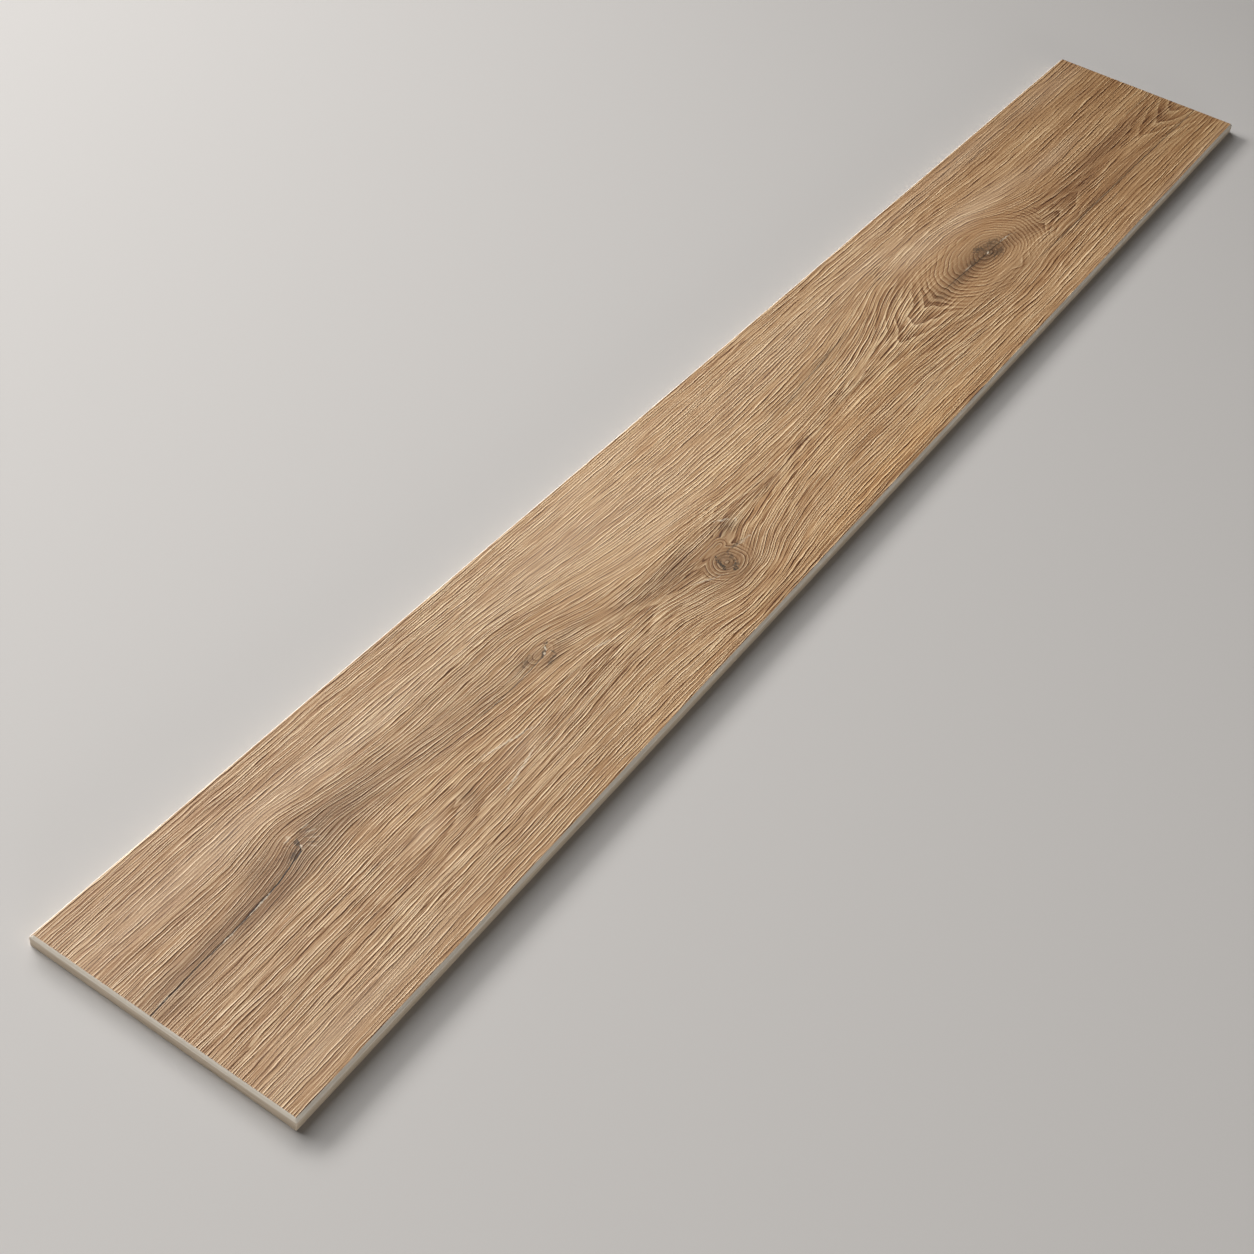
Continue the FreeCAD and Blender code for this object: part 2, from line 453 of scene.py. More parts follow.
def figure_field(x, y):
    """The growth ring at each point, how strongly the figure shows, and how far the fibres turn with it."""
    table = np.array(HEART, float)
    heart_y, ring, half_width, strength = (steady_curve(x, table[:, 0], table[:, k]) for k in range(1, 5))
    away = np.abs(y - heart_y)
    rings = ring - (away / half_width) ** RING_POINT
    for oval_x, oval_y, count, near_step, far_step, side_step in RING_OVALS:
        step = np.where(x < oval_x, near_step, far_step)
        rings = np.maximum(rings, count - np.hypot((x - oval_x) / step, (y - oval_y) / side_step))
    return np.stack([rings, strength * np.exp(-((away / FIGURE_REACH) ** 2)), ring_weight(x, y)], axis=-1)


def ring_weight(x, y):
    """How far the fibres turn with the rings instead of running along the plank."""
    weight = np.zeros_like(x)
    for knot_x, knot_y, half_length, half_width, strength in RINGED_KNOTS:
        reach = ((x - knot_x) / half_length) ** 2 + ((y - knot_y) / half_width) ** 2
        weight = np.maximum(weight, strength * np.clip(RINGED_REACH - reach, 0, 1))
    return weight


def patch_field(x, y, patches):
    """The sum of soft oval patches, each of its own amount."""
    total = np.zeros_like(x)
    for patch_x, patch_y, half_length, half_width, amount in patches:
        total += amount * np.exp(-(((x - patch_x) / half_length) ** 2 + ((y - patch_y) / half_width) ** 2))
    return total


def tone_field(x, y):
    """How stained each point is, how strongly the streaks show there, and how warm the print is."""
    table = np.array(STREAKS, float)
    contrast = steady_curve(x, table[:, 0], table[:, 3])
    return np.stack([patch_field(x, y, STAINS), contrast, patch_field(x, y, WARM_PATCHES)], axis=-1)


def crack_field(x, y):
    """The distance from the nearest crack's line, the crack's width there and how dark it is."""
    nearest = np.full_like(x, NO_CRACK)
    width = np.zeros_like(x)
    darkness = np.zeros_like(x)
    for amount, path in CRACKS:
        crack_x, crack_y, crack_width = np.array(path, float).T
        offset = y - steady_curve(x, crack_x, crack_y)
        inside = (x >= crack_x[0]) & (x <= crack_x[-1]) & (np.abs(offset) < np.abs(nearest))
        nearest = np.where(inside, offset, nearest)
        width = np.where(inside, steady_curve(x, crack_x, crack_width), width)
        darkness = np.where(inside, amount, darkness)
    return np.stack([nearest, width, darkness], axis=-1)


def sink_field(x, y):
    """The way that the relief moves each point: down, and on the face's border outwards along the bevel."""
    outward_x = np.where(x == x[0, 0], -1.0, np.where(x == x[-1, 0], 1.0, 0.0))
    outward_y = np.where(y == y[0, 0], -1.0, np.where(y == y[0, -1], 1.0, 0.0))
    return np.stack([outward_x, outward_y, np.full_like(x, -1.0)], axis=-1)


def half_columns(start, end):
    """Places of the mesh's columns over half of the face, closer together beside the knots."""
    steps = np.linspace(start, end, SPACING_STEPS)
    density = np.ones_like(steps)
    for knot_x in KNOT_PLACES:
        density += KNOT_COLUMNS * np.exp(-(((steps - knot_x) / KNOT_REACH) ** 2))
    count = np.concatenate([[0], np.cumsum((density[1:] + density[:-1]) / 2)])
    return np.interp(np.linspace(0, count[-1], HALF_COLUMNS + 1), count, steps)


def key_edges(span):
    """Low and high edge of each key over one span of the back."""
    keyed = span - 2 * RIM_WIDTH
    count = math.floor((keyed + RIB_WIDTH) / KEY_PITCH)
    size = (keyed - (count - 1) * RIB_WIDTH) / count
    lows = -keyed / 2 + np.arange(count) * (size + RIB_WIDTH)
    return np.stack([lows, lows + size], axis=1).ravel()


class PlankMesh:
    """Collects the vertices and faces of the plank, in millimetres, with the part each face belongs to."""

    FACE, EDGE, BACK = range(3)

    def __init__(self):
        self.places = []
        self.faces = []
        self.kinds = []

    def add_places(self, places):
        """Adds vertices and returns their numbers."""
        first = len(self.places)
        self.places.extend(tuple(place) for place in places)
        return list(range(first, len(self.places)))

    def add_face(self, corners, kind):
        """Adds a face without its repeated corners, unless nothing of it is left."""
        corners = [c for i, c in enumerate(corners) if c != corners[i - 1]]
        if len(corners) > 2:
            self.faces.append(corners)
            self.kinds.append(kind)

    def skirt(self, upper, lower, kind):
        """Joins two loops of the same length, the upper one seen first from outside."""
        for i in range(len(upper)):
            j = (i + 1) % len(upper)
            self.add_face([upper[i], lower[i], lower[j], upper[j]], kind)


def edge_loop(columns, rows, inset, height):
    """Points round the plank at one inset from its sides, with the corners rounded, counter-clockwise."""
    radius = CORNER_RADIUS - inset
    half_x, half_y = LENGTH / 2 - inset, WIDTH / 2 - inset
    sides = [
        [(x, -half_y) for x in columns[1:-1]],
        [(half_x, y) for y in rows[1:-1]],
        [(x, half_y) for x in columns[-2:0:-1]],
        [(-half_x, y) for y in rows[-2:0:-1]],
    ]
    centres = [(1, -1), (1, 1), (-1, 1), (-1, -1)]
    loop = []
    for quarter, (side, (sign_x, sign_y)) in enumerate(zip(sides, centres)):
        loop += side
        for step in range(CORNER_STEPS + 1):
            angle = math.radians(90 * (quarter - 1 + step / CORNER_STEPS))
            loop.append((sign_x * (half_x - radius) + radius * math.cos(angle),
                         sign_y * (half_y - radius) + radius * math.sin(angle)))
    return [(x, y, height) for x, y in loop]


def face_border(grid):
    """The face's own border in the order of edge_loop, each corner repeated for the rounded ones."""
    sides = [grid[1:-1, 0], grid[-1, 1:-1], grid[-2:0:-1, -1], grid[0, -2:0:-1]]
    corners = [grid[-1, 0], grid[-1, -1], grid[0, -1], grid[0, 0]]
    loop = []
    for side, corner in zip(sides, corners):
        loop += list(side) + [corner] * (CORNER_STEPS + 1)
    return [int(i) for i in loop]


def add_wood_face(mesh, x, y):
    """The wood face as a grid of quads, still flat."""
    top = np.stack([x, y, np.full_like(x, THICKNESS)], axis=-1).reshape(-1, 3)
    grid = np.array(mesh.add_places(top)).reshape(x.shape)
    quads = np.stack([grid[:-1, :-1], grid[1:, :-1], grid[1:, 1:], grid[:-1, 1:]], axis=-1)
    for quad in quads.reshape(-1, 4).tolist():
        mesh.add_face(quad, mesh.FACE)
    return grid


def add_edges(mesh, columns, rows, loop):
    """The bevel, its worn lower arris, the upright side and the eased foot, down to the rim of the back."""
    bevel_foot = THICKNESS - FACE_BEVEL
    outline = [
        (ARRIS_ROUND, bevel_foot + ARRIS_ROUND),
        (ARRIS_ROUND * ARRIS_MIDDLE, bevel_foot - ARRIS_ROUND * ARRIS_MIDDLE),
        (0.0, bevel_foot - ARRIS_ROUND * ARRIS_END),
        (0.0, FOOT_BEVEL + ARRIS_ROUND),
        (FOOT_BEVEL * FOOT_INSET, FOOT_BEVEL * FOOT_HEIGHT),
        (FOOT_BEVEL, 0.0),
    ]
    for inset, height in outline:
        lower = mesh.add_places(edge_loop(columns, rows, inset, height))
        mesh.skirt(loop, lower, mesh.EDGE)
        loop = lower
    return loop


def add_back(mesh):
    """The keyed back inside its rim: ribs level with the rim and drafted keys between them."""
    lines_x, lines_y = key_edges(LENGTH), key_edges(WIDTH)
    level = np.array(mesh.add_places((x, y, 0.0) for x in lines_x for y in lines_y))
    level = level.reshape(len(lines_x), len(lines_y))
    for i in range(len(lines_x) - 1):
        for j in range(len(lines_y) - 1):
            mouth = [int(level[a, b]) for a, b in [(i, j), (i, j + 1), (i + 1, j + 1), (i + 1, j)]]
            if i % 2 or j % 2:
                mesh.add_face(mouth, mesh.BACK)
                continue
            low_x, high_x = lines_x[i] + KEY_LEAN, lines_x[i + 1] - KEY_LEAN
            low_y, high_y = lines_y[j] + KEY_LEAN, lines_y[j + 1] - KEY_LEAN
            floor = mesh.add_places((x, y, KEY_DEPTH) for x, y in
                                    [(low_x, low_y), (low_x, high_y), (high_x, high_y), (high_x, low_y)])
            mesh.add_face(floor, mesh.BACK)
            for k in range(4):
                mesh.add_face([mouth[k], mouth[(k + 1) % 4], floor[(k + 1) % 4], floor[k]], mesh.BACK)
    rim = list(level[:, 0]) + list(level[-1, 1:]) + list(level[-2::-1, -1]) + list(level[0, -2:0:-1])
    return [int(i) for i in rim]


def zip_loops(mesh, outer, inner, kind):
    """Fills the flat rim between two loops with triangles, always taking the shorter next step."""
    places = np.array(mesh.places)
    start = int(np.argmin(np.linalg.norm(places[inner] - places[outer[0]], axis=1)))
    inner = inner[start:] + inner[:start]
    i = j = 0
    while i < len(outer) or j < len(inner):
        a, b = outer[i % len(outer)], inner[j % len(inner)]
        next_a, next_b = outer[(i + 1) % len(outer)], inner[(j + 1) % len(inner)]
        outer_step = np.linalg.norm(places[next_a] - places[b]) if i < len(outer) else math.inf
        inner_step = np.linalg.norm(places[next_b] - places[a]) if j < len(inner) else math.inf
        if outer_step <= inner_step:
            mesh.add_face([a, b, next_a], kind)
            i += 1
        else:
            mesh.add_face([a, b, next_b], kind)
            j += 1


def between(limits, share):
    """The value at a share of the way between two limits."""
    low, high = limits
    return low + (high - low) * share


def unfold(kind, face_places):
    """Where a face of the plank lies on the unit square that its surface is unfolded onto."""
    x, y, z = face_places.T
    middle_x, middle_y = x.mean(), y.mean()
    near, right = middle_x < 0, middle_y < 0
    lengthwise, crosswise = x / LENGTH + 0.5, y / WIDTH + 0.5
    if kind == PlankMesh.FACE:
        start_x = -LENGTH / 2 if near else 0.0
        band = NEAR_FACE_BAND if near else FAR_FACE_BAND
        return between(WHOLE_LENGTH, (x - start_x) / (LENGTH / 2)), between(band, crosswise)
    if kind == PlankMesh.BACK:
        return between(WHOLE_LENGTH, lengthwise), between(BACK_BAND, crosswise)
    inset = np.minimum(LENGTH / 2 - np.abs(x), WIDTH / 2 - np.abs(y))
    height = z + np.where(z > THICKNESS / 2, inset, -inset)
    up = (height + FOOT_BEVEL) / (THICKNESS + FACE_BEVEL + FOOT_BEVEL)
    if WIDTH / 2 - abs(middle_y) < LENGTH / 2 - abs(middle_x):
        return between(WHOLE_LENGTH, lengthwise), between(RIGHT_SIDE_BAND if right else LEFT_SIDE_BAND, up)
    return between(NEAR_END_SPAN if near else FAR_END_SPAN, crosswise), between(ENDS_BAND, up)


def write_unfolding(data, mesh):
    """Stores the unfolded surface as the mesh's UV map."""
    places = np.array(mesh.places)
    spots = []
    for corners, kind in zip(mesh.faces, mesh.kinds):
        spots.append(np.stack(unfold(kind, places[corners]), axis=-1))
    layer = data.uv_layers.new(name="OFBake")
    layer.uv.foreach_set("vector", np.concatenate(spots).astype(np.float32).ravel())


def write_vectors(data, name, values):
    """Stores three numbers on each vertex."""
    attribute = data.attributes.new(name, "FLOAT_VECTOR", "POINT")
    attribute.data.foreach_set("vector", np.asarray(values, np.float32).ravel())


def plank_data():
    """The plank's mesh before its relief, with the fields of its figure on the vertices of the face."""
    half_length, half_width = LENGTH / 2 - FACE_BEVEL, WIDTH / 2 - FACE_BEVEL
    columns = np.concatenate([half_columns(-half_length, 0)[:-1], half_columns(0, half_length)])
    rows = np.linspace(-half_width, half_width, ROWS + 1)
    x, y = np.meshgrid(columns, rows, indexing="ij")

    mesh = PlankMesh()
    grid = add_wood_face(mesh, x, y)
    foot = add_edges(mesh, columns, rows, face_border(grid))
    zip_loops(mesh, foot, add_back(mesh), mesh.BACK)

    data = bpy.data.meshes.new(NODE + "_detail")
    data.from_pydata([(px * MM, py * MM, pz * MM) for px, py, pz in mesh.places], [], mesh.faces)
    data.polygons.foreach_set("material_index", mesh.kinds)
    write_unfolding(data, mesh)

    fields = {
        "fibre": fibre_field(columns, rows),
        "figure": figure_field(x, y),
        "crack": crack_field(x, y),
        "tone": tone_field(x, y),
        "sink": sink_field(x, y),
    }
    for name, values in fields.items():
        everywhere = np.zeros((len(mesh.places), 3))
        everywhere[grid.ravel()] = values.reshape(-1, 3)
        write_vectors(data, name, everywhere)
    write_vectors(data, "place", mesh.places)
    return data


def operator(operation, turned=False):
    """An operator of arithmetic between a term and another one or a plain number."""
    def apply(term, other):
        first, second = (other, term) if turned else (term, other)
        return term.graph.math(operation, first, second)
    return apply


class Term:
    """A number in a node tree that can be written with in plain arithmetic."""

    def __init__(self, graph, socket):
        self.graph = graph
        self.socket = socket

    __add__ = __radd__ = operator("ADD")
    __mul__ = __rmul__ = operator("MULTIPLY")
    __sub__ = operator("SUBTRACT")
    __rsub__ = operator("SUBTRACT", turned=True)
    __truediv__ = operator("DIVIDE")
    __rtruediv__ = operator("DIVIDE", turned=True)


class Graph:
    """Writes node maths the same way in a material and in geometry nodes."""

    def __init__(self, tree):
        self.tree = tree
        self.in_shader = tree.bl_idname == "ShaderNodeTree"

    def node(self, kind, **settings):
        node = self.tree.nodes.new(kind)
        for name, value in settings.items():
            setattr(node, name, value)
        return node

    def link(self, output, socket):
        self.tree.links.new(output, socket)

    def plug(self, value, socket):
        """Feeds a socket with a term or a plain number."""
        if isinstance(value, Term):
            self.link(value.socket, socket)
        else:
            socket.default_value = value

    def math(self, operation, first, second=0.0):
        node = self.node("ShaderNodeMath", operation=operation)
        self.plug(first, node.inputs[0])
        self.plug(second, node.inputs[1])
        return Term(self, node.outputs[0])

    def field(self, name):
        """The three numbers of a vertex field."""
        if self.in_shader:
            vector = self.node("ShaderNodeAttribute", attribute_name=name).outputs["Vector"]
        else:
            node = self.node("GeometryNodeInputNamedAttribute", data_type="FLOAT_VECTOR")
            node.inputs["Name"].default_value = name
            vector = node.outputs[0]
        split = self.node("ShaderNodeSeparateXYZ")
        self.link(vector, split.inputs[0])
        return [Term(self, output) for output in split.outputs]

    def noise(self, name, *places, shift=0.0):
        """The named noise at a place, from nothing to one."""
        sizes, own_shift, detail = NOISES[name]
        scaled = [place / size for place, size in zip(places, sizes)]
        if own_shift + shift:
            scaled[0] = scaled[0] + (own_shift + shift)
        join = self.node("ShaderNodeCombineXYZ")
        for value, socket in zip(scaled, join.inputs):
            self.plug(value, socket)
        node = self.node("ShaderNodeTexNoise", noise_dimensions=f"{len(places)}D")
        self.link(join.outputs[0], node.inputs["Vector"])
        node.inputs["Scale"].default_value = 1.0
        node.inputs["Detail"].default_value = detail
        return Term(self, node.outputs[0])

    def unrest(self, name, *places):
        """The named noise about nothing."""
        return self.noise(name, *places) - 0.5

    def ramp(self, value, limits, results=(0.0, 1.0), smooth=True):
        """Runs from the first result to the second as the value goes from the first limit to the second."""
        node = self.node("ShaderNodeMapRange", interpolation_type="SMOOTHSTEP" if smooth else "LINEAR")
        for item, socket in zip((value, *limits, *results), node.inputs):
            self.plug(item, socket)
        return Term(self, node.outputs[0])

    def near(self, value, middle, reach):
        """One close to the middle, falling to nothing at the reach."""
        return self.ramp(self.math("ABSOLUTE", value - middle), reach)

    def blend(self, factor, first, second):
        return first + (second - first) * factor

    def colour_ramp(self, value, stops):
        """A colour between stops, each a place and a colour in linear light."""
        node = self.node("ShaderNodeValToRGB")
        self.plug(value, node.inputs[0])
        elements = node.color_ramp.elements
        while len(elements) < len(stops):
            elements.new(0.5)
        for element, (place, colour) in zip(elements, stops):
            element.position = place
            element.color = (*colour, 1.0)
        return node.outputs[0]

    def mix_colours(self, factor, first, second, blend_type="MIX"):
        """The second colour laid over the first, either of them an output or three numbers."""
        node = self.node("ShaderNodeMix", data_type="RGBA", blend_type=blend_type)
        self.plug(factor, node.inputs[0])
        for colour, socket in zip((first, second), (node.inputs[6], node.inputs[7])):
            if isinstance(colour, bpy.types.NodeSocket):
                self.link(colour, socket)
            else:
                socket.default_value = (*colour, 1.0)
        return node.outputs[2]

    def bump(self, shader, height, strength, depth):
        """Shades a shader's surface as if it rose and fell by a depth in millimetres."""
        node = self.node("ShaderNodeBump")
        node.inputs["Strength"].default_value = strength
        node.inputs["Distance"].default_value = depth * MM
        self.plug(height, node.inputs["Height"])
        self.link(node.outputs[0], shader.inputs["Normal"])


class Fibres:
    """Grain along the fibres, as closely spaced where they crowd together as where they spread."""

    def __init__(self, graph, along, across, crowding):
        self.graph = graph
        self.along = along
        self.across = across
        step = graph.math("FLOOR", crowding)
        self.fraction = crowding - step
        self.scale = graph.math("POWER", 2.0, step)
        rest = 1.0 - self.fraction
        self.gain = 1.0 / graph.math("SQRT", self.fraction * self.fraction + rest * rest)

    def blended(self, make):
        """Fades from one spacing to half of it as the fibres crowd, so that lines branch."""
        pairs = zip(make(self.scale), make(self.scale * 2.0))
        return [self.graph.blend(self.fraction, wide, close) * self.gain for wide, close in pairs]

    def unrest(self, name):
        """The named noise about nothing, at the fibres' own spacing."""
        def make(scale):
            return [self.graph.unrest(name, self.along, self.across / scale)]
        return self.blended(make)[0]

    def combed(self, spacing=1.0, shift=0.0):
        """Lines that wander, and that swell and fade one by one."""
        def make(scale):
            place = self.across / (scale * (2.0 * spacing))
            wander = self.graph.noise("wander", self.along, place, shift=shift) * WANDER
            swell = self.graph.noise("swell", self.along, place, shift=shift)
            amount = self.graph.ramp(swell, SWELL_LIMITS, SWELL, smooth=False)
            return [part * amount for part in line_section(self.graph, place + wander)]
        return self.blended(make)


def line_section(graph, count):
    """Lines that come one to each whole count: a dark and a pale flank, and the ridge that they meet at. Both
    flanks are partly grain and partly painted light: shade on the ridge's side away from the main lamps, a
    highlight on the side towards them.
    """
    phase = graph.math("FRACT", count)
    dark = graph.near(phase, DARK_AND_SHADED_FLANK, FLANK_REACH)
    pale = graph.near(phase, PALE_AND_LIT_FLANK, FLANK_REACH)
    ridge = graph.near(phase, RIDGE, RIDGE_REACH)
    return pale - dark * DARK_WEIGHT, ridge


def grain(graph):
    """The wood grain: streaks of several sizes, calm and lively places, and growth rings."""
    along, across, crowding = graph.field("fibre")
    ring, strength, turn = graph.field("figure")
    stain, contrast, warmth = graph.field("tone")
    x, y = graph.field("place")[:2]

    bend = graph.unrest("sway", along, across) * SWAY + graph.unrest("ripple", along, across) * RIPPLE
    across = across + graph.math("POWER", 2.0, crowding) * bend
    fibres = Fibres(graph, along, across, crowding)
    teeth = graph.unrest("teeth", along, across)
    ring = ring + graph.unrest("ring_wave", x, y) * (RING_WAVE + turn * KNOT_WAVE)

    swell = graph.noise("knot_swell", x, y, ring)
    knot_swell = graph.ramp(swell, KNOT_SWELL_LIMITS, KNOT_SWELL, smooth=False)
    calm = graph.ramp(graph.noise("calm", along, across), CALM_LIMITS, CALM)
    sections = zip(fibres.combed(), fibres.combed(FINE_SPACING, FINE_SHIFT), line_section(graph, ring))
    streak, ridge = (
        graph.blend(turn, wide + fine * FINE_WEIGHT, knot * knot_swell) * calm
        for wide, fine, knot in sections
    )
    return dict(
        x=x, y=y, along=along, across=across, strength=strength,
        streak=streak, ridge=ridge, contrast=contrast, stain=stain, warmth=warmth,
        coarse=fibres.unrest("coarse"),
        band=fibres.unrest("band"),
        broad=graph.unrest("broad", along, across) * graph.ramp(x, BROAD_STRETCH, BROAD_STRENGTH),
        ring=ring + teeth * graph.ramp(x, TEETH_STRETCH, TEETH_STRENGTH),
    )


def grain_height(parts):
    """How high the face stands, from about nothing in the grooves to one on the ridges."""
    return parts["ridge"] * RIDGE_HEIGHT + parts["coarse"] * COARSE_HEIGHT + MEAN_HEIGHT


def crack_gap(graph, parts):
    """One inside a crack and nothing outside it, times how dark the crack is."""
    offset, width, darkness = graph.field("crack")
    jitter = graph.unrest("crack_jitter", parts["x"], parts["y"]) * CRACK_JITTER
    reach = graph.math("ABSOLUTE", offset + jitter) - width * 0.5
    return graph.ramp(reach, CRACK_SIDES) * graph.ramp(width, CRACK_ENDS) * darkness


def marked(graph, parts, colour):
    """The colour with the small marks laid over it, their rims broken up."""
    rough = graph.noise("mark_rim", parts["x"], parts["y"]) * MARK_ROUGHNESS
    for kind, mark_x, mark_y, half_length, half_width, lean, amount in MARKS:
        cosine, sine = math.cos(math.radians(lean)), math.sin(math.radians(lean))
        away_x, away_y = parts["x"] - mark_x, parts["y"] - mark_y
        lengthwise = (away_x * cosine + away_y * sine) / half_length
        crosswise = (away_y * cosine - away_x * sine) / half_width
        reach = lengthwise * lengthwise + crosswise * crosswise + rough
        cover = graph.ramp(reach, MARK_RIM, (0.0, amount))
        colour = graph.mix_colours(cover, colour, srgb(*MARK_COLOURS[kind]))
    return colour


def add_relief(piece):
    """Presses the grain into the face: grooves go down from the ridges, and the bevel follows them."""
    tree = bpy.data.node_groups.new("grain_relief", "GeometryNodeTree")
    tree.interface.new_socket("Geometry", in_out="INPUT", socket_type="NodeSocketGeometry")
    tree.interface.new_socket("Geometry", in_out="OUTPUT", socket_type="NodeSocketGeometry")
    graph = Graph(tree)
    parts = grain(graph)
    groove = graph.ramp(grain_height(parts), (0.0, 1.0), (GROOVE_DEPTH, 0.0))
    depth = graph.math("MAXIMUM", groove, crack_gap(graph, parts) * CRACK_DEPTH) * MM
    offset = graph.node("ShaderNodeCombineXYZ")
    for direction, socket in zip(graph.field("sink"), offset.inputs):
        graph.plug(direction * depth, socket)
    entry, leave = graph.node("NodeGroupInput"), graph.node("NodeGroupOutput")
    shift = graph.node("GeometryNodeSetPosition")
    graph.link(entry.outputs[0], shift.inputs["Geometry"])
    graph.link(offset.outputs[0], shift.inputs["Offset"])
    graph.link(shift.outputs[0], leave.inputs[0])
    modifier = piece.modifiers.new("relief", "NODES")
    modifier.node_group = tree
    shaped = bpy.data.meshes.new_from_object(piece.evaluated_get(bpy.context.evaluated_depsgraph_get()))
    piece.modifiers.clear()
    piece.data = shaped


def srgb(red, green, blue):
    """A colour as it is read on a screen, from 0 to 255, in linear light."""
    return tuple(c / 12.92 if c <= 0.04045 else ((c + 0.055) / 1.055) ** 2.4
                 for c in (red / 255, green / 255, blue / 255))


def screen_stops(stops):
    """Stops of a colour ramp, with their colours as read on a screen, in linear light."""
    return [(place, srgb(*colour)) for place, colour in stops]


def new_material(name, roughness, shine=0.5):
    """A new material with its graph and its shader."""
    material = bpy.data.materials.new(name)
    material.use_nodes = True
    shader = material.node_tree.nodes["Principled BSDF"]
    shader.inputs["Roughness"].default_value = roughness
    shader.inputs["Specular IOR Level"].default_value = shine
    return material, Graph(material.node_tree), shader


def print_tone(graph, parts):
    """How pale the print is at each point, from nothing to one."""
    phase = graph.math("FRACT", parts["ring"])
    shades = dict(
        parts,
        late=graph.ramp(phase, LATE_WOOD, (1.0, 0.0)) * parts["strength"],
        pale_rim=graph.ramp(phase, PALE_RIM) * parts["strength"],
        pores=graph.ramp(graph.noise("pores", parts["along"], parts["across"]), PORE_LIMITS),
    )
    # The streaks carry the grain lines' flanks: grain, and painted shade and highlight beside each ridge
    tone = MEAN_TONE + parts["streak"] * parts["contrast"]
    for name, weight in TONE_WEIGHTS.items():
        tone = tone + shades[name] * weight
    return tone


def wood_glaze():
    """The printed wood face under a matt glaze."""
    material, graph, shader = new_material("wood_glaze", roughness=0.55, shine=0.3)
    parts = grain(graph)
    place = graph.ramp(parts["x"], (-LENGTH / 2, LENGTH / 2), smooth=False)
    wood = graph.colour_ramp(print_tone(graph, parts), screen_stops(WOOD_TONES))
    # partly painted light: how bright the face is along the plank, besides the print's browner far end
    drifted = graph.mix_colours(1.0, wood, graph.colour_ramp(place, DRIFT), "MULTIPLY")
    warmed = graph.mix_colours(parts["warmth"], drifted, WARM_TINT, "MULTIPLY")
    stain_cover = graph.ramp(parts["stain"], (0.0, 1.0), (0.0, STAIN_COVER), smooth=False)
    pale_cover = graph.ramp(parts["stain"], (0.0, -1.0), (0.0, STAIN_COVER), smooth=False)
    stain_colour = graph.colour_ramp(place, screen_stops(STAIN_TONES))
    stained = graph.mix_colours(stain_cover, warmed, stain_colour, "MULTIPLY")
    paled = graph.mix_colours(pale_cover, stained, srgb(*PALE_PATCH))
    cracked = graph.mix_colours(crack_gap(graph, parts), paled, srgb(*CRACK_COLOUR))
    graph.link(marked(graph, parts, cracked), shader.inputs["Base Color"])
    graph.bump(shader, grain_height(parts), strength=0.5, depth=GROOVE_DEPTH)
    return material


def porcelain_edge():
    """The fired body at the bevels and sides: pale and grey above, beige with pressing lines below, with
    painted shade that darkens it towards the floor.
    """
    material, graph, shader = new_material("porcelain_edge", roughness=0.55)
    x, y, z = graph.field("place")
    lines = graph.unrest("pressing_lines", x + y, z) * LINE_TONE
    cloud = graph.unrest("body_cloud", x, y, z) * CLOUD_TONE
    # painted shade: the body and the rim darker towards the floor and paler upwards
    tone = 0.5 + lines + cloud + graph.ramp(z, PAINTED_SHADE_HEIGHTS, PAINTED_SHADE)
    body = graph.colour_ramp(tone, screen_stops(BODY_TONES))
    rim = graph.colour_ramp(tone, screen_stops(RIM_TONES))
    bevel_foot = THICKNESS - FACE_BEVEL
    rim_cover = graph.ramp(z, (bevel_foot - RIM_BELOW_BEVEL, bevel_foot + RIM_ABOVE_BEVEL))
    bare = graph.mix_colours(rim_cover, body, rim)
    face_side = WIDTH / 2 - FACE_BEVEL
    high_up = graph.ramp(z, [THICKNESS - below for below in WRAPPED_BELOW])
    on_left = graph.ramp(y, (face_side - WRAPPED_SIDE, face_side))
    wrapped = graph.mix_colours(high_up * on_left * WRAPPED_COVER, bare, srgb(*WRAPPED_COLOUR))
    graph.link(wrapped, shader.inputs["Base Color"])
    return material


def porcelain_back():
    """The unglazed back, dusted with pale release wash on its ribs."""
    material, graph, shader = new_material("porcelain_back", roughness=0.8)
    x, y, z = graph.field("place")
    cloud = graph.unrest("back_cloud", x, y)
    grit = graph.noise("back_grit", x, y)
    tone = 0.5 + (grit - 0.5) * BACK_GRIT_TONE + cloud * BACK_CLOUD_TONE
    body = graph.colour_ramp(tone, screen_stops(BACK_TONES))
    wash = graph.ramp(z + cloud * WASH_UNREST, (KEY_DEPTH, 0.0)) * WASH_COVER
    graph.link(graph.mix_colours(wash, body, srgb(*WASH_COLOUR)), shader.inputs["Base Color"])
    graph.bump(shader, grit, strength=0.4, depth=0.15)
    return material


def new_object(name, data):
    """A new object, put into the scene."""
    made = bpy.data.objects.new(name, data)
    bpy.context.scene.collection.objects.link(made)
    return made


def build_plank():
    """The dressed plank, which stands for the CAD solid."""
    data = plank_data()
    piece = new_object("plank", data)
    for material in (wood_glaze(), porcelain_edge(), porcelain_back()):
        data.materials.append(material)
    add_relief(piece)
    shaped = piece.data
    shaped.shade_smooth()
    shaped.set_sharp_from_angle(angle=math.radians(SHARP_ANGLE))
    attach(piece, "root")
    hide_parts(NODE)


def show_to_camera(graph, seen, plain, amount, output):
    """Ends a tree: the camera sees one shader, as far as the amount says, and all else the plain one."""
    path = graph.node("ShaderNodeLightPath")
    choice = graph.node("ShaderNodeMixShader")
    graph.plug(Term(graph, path.outputs["Is Camera Ray"]) * amount, choice.inputs[0])
    graph.link(plain.outputs[0], choice.inputs[1])
    graph.link(seen.outputs[0], choice.inputs[2])
    graph.link(choice.outputs[0], graph.tree.nodes[output].inputs["Surface"])


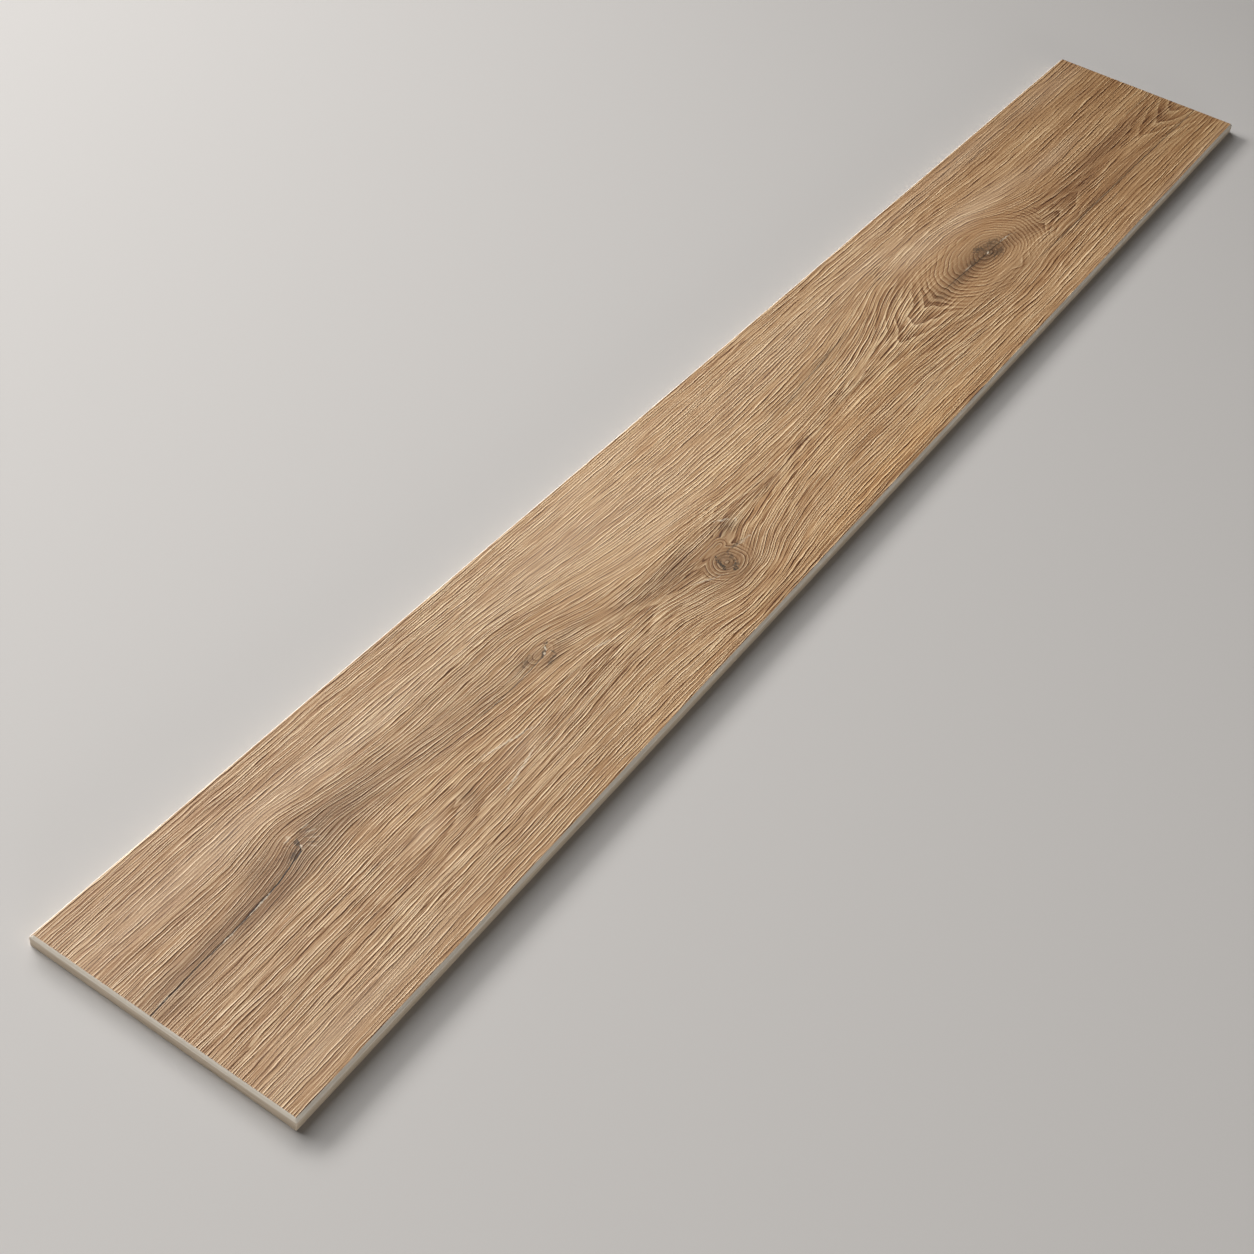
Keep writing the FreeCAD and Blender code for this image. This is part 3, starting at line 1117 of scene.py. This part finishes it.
def floor_paper():
    """Pale paper that runs into the backdrop's colour far outside the photograph's view."""
    material, graph, shader = new_material("floor_paper", roughness=0.9)
    shader.inputs["Base Color"].default_value = (*srgb(*FLOOR_COLOUR), 1.0)
    geometry = graph.node("ShaderNodeNewGeometry")
    distance = graph.node("ShaderNodeVectorMath", operation="LENGTH")
    graph.link(geometry.outputs["Position"], distance.inputs[0])
    backdrop = graph.node("ShaderNodeEmission")
    backdrop.inputs["Color"].default_value = (*srgb(*BACKDROP_COLOUR), 1.0)
    fade = graph.ramp(Term(graph, distance.outputs["Value"]), FLOOR_FADE)
    show_to_camera(graph, backdrop, shader, fade, "Material Output")
    return material


def build_floor():
    """The plain floor that the plank lies on."""
    data = bpy.data.meshes.new("floor")
    signs = [(-1, -1), (1, -1), (1, 1), (-1, 1)]
    data.from_pydata([(x * FLOOR_REACH, y * FLOOR_REACH, 0.0) for x, y in signs], [], [(0, 1, 2, 3)])
    data.materials.append(floor_paper())
    floor = new_object("floor", data)


def add_lamp(name, place, aim, width, height, power, spread):
    """A broad soft lamp that faces one point of the floor, its light spread over an angle in degrees."""
    data = bpy.data.lights.new(name, "AREA")
    data.shape = "RECTANGLE"
    data.size = width
    data.size_y = height
    data.energy = power
    data.spread = math.radians(spread)
    lamp = new_object(name, data)
    lamp.location = place
    lamp.rotation_euler = (Vector(aim) - lamp.location).to_track_quat("-Z", "Y").to_euler()
    lamp.visible_camera = False


def build_surround():
    """A faint even light from all round, and the pale backdrop that the camera sees instead of it."""
    world = bpy.data.worlds.new("surround")
    world.use_nodes = True
    graph = Graph(world.node_tree)
    surround = world.node_tree.nodes["Background"]
    surround.inputs["Color"].default_value = (*SURROUND_COLOUR, 1.0)
    surround.inputs["Strength"].default_value = SURROUND_STRENGTH
    backdrop = graph.node("ShaderNodeBackground")
    backdrop.inputs["Color"].default_value = (*srgb(*BACKDROP_COLOUR), 1.0)
    show_to_camera(graph, backdrop, surround, 1.0, "World Output")
    bpy.context.scene.world = world


def build_camera():
    """The photograph's viewpoint, without shift."""
    data = bpy.data.cameras.new("camera")
    data.sensor_width = SENSOR_WIDTH
    data.lens = SENSOR_WIDTH * FOCAL_PIXELS / PICTURE_SIDE
    camera = new_object("camera", data)
    camera.location = CAMERA_PLACE
    looking = Vector(CAMERA_AIM) - Vector(CAMERA_PLACE)
    turn = looking.to_track_quat("-Z", "Y") @ Quaternion((0, 0, 1), math.radians(CAMERA_ROLL))
    camera.rotation_euler = turn.to_euler()
    bpy.context.scene.camera = camera


build_plank()
build_floor()
for lamp in LAMPS:
    add_lamp(*lamp)
build_surround()
build_camera()
bpy.context.scene.view_settings.view_transform = "Standard"
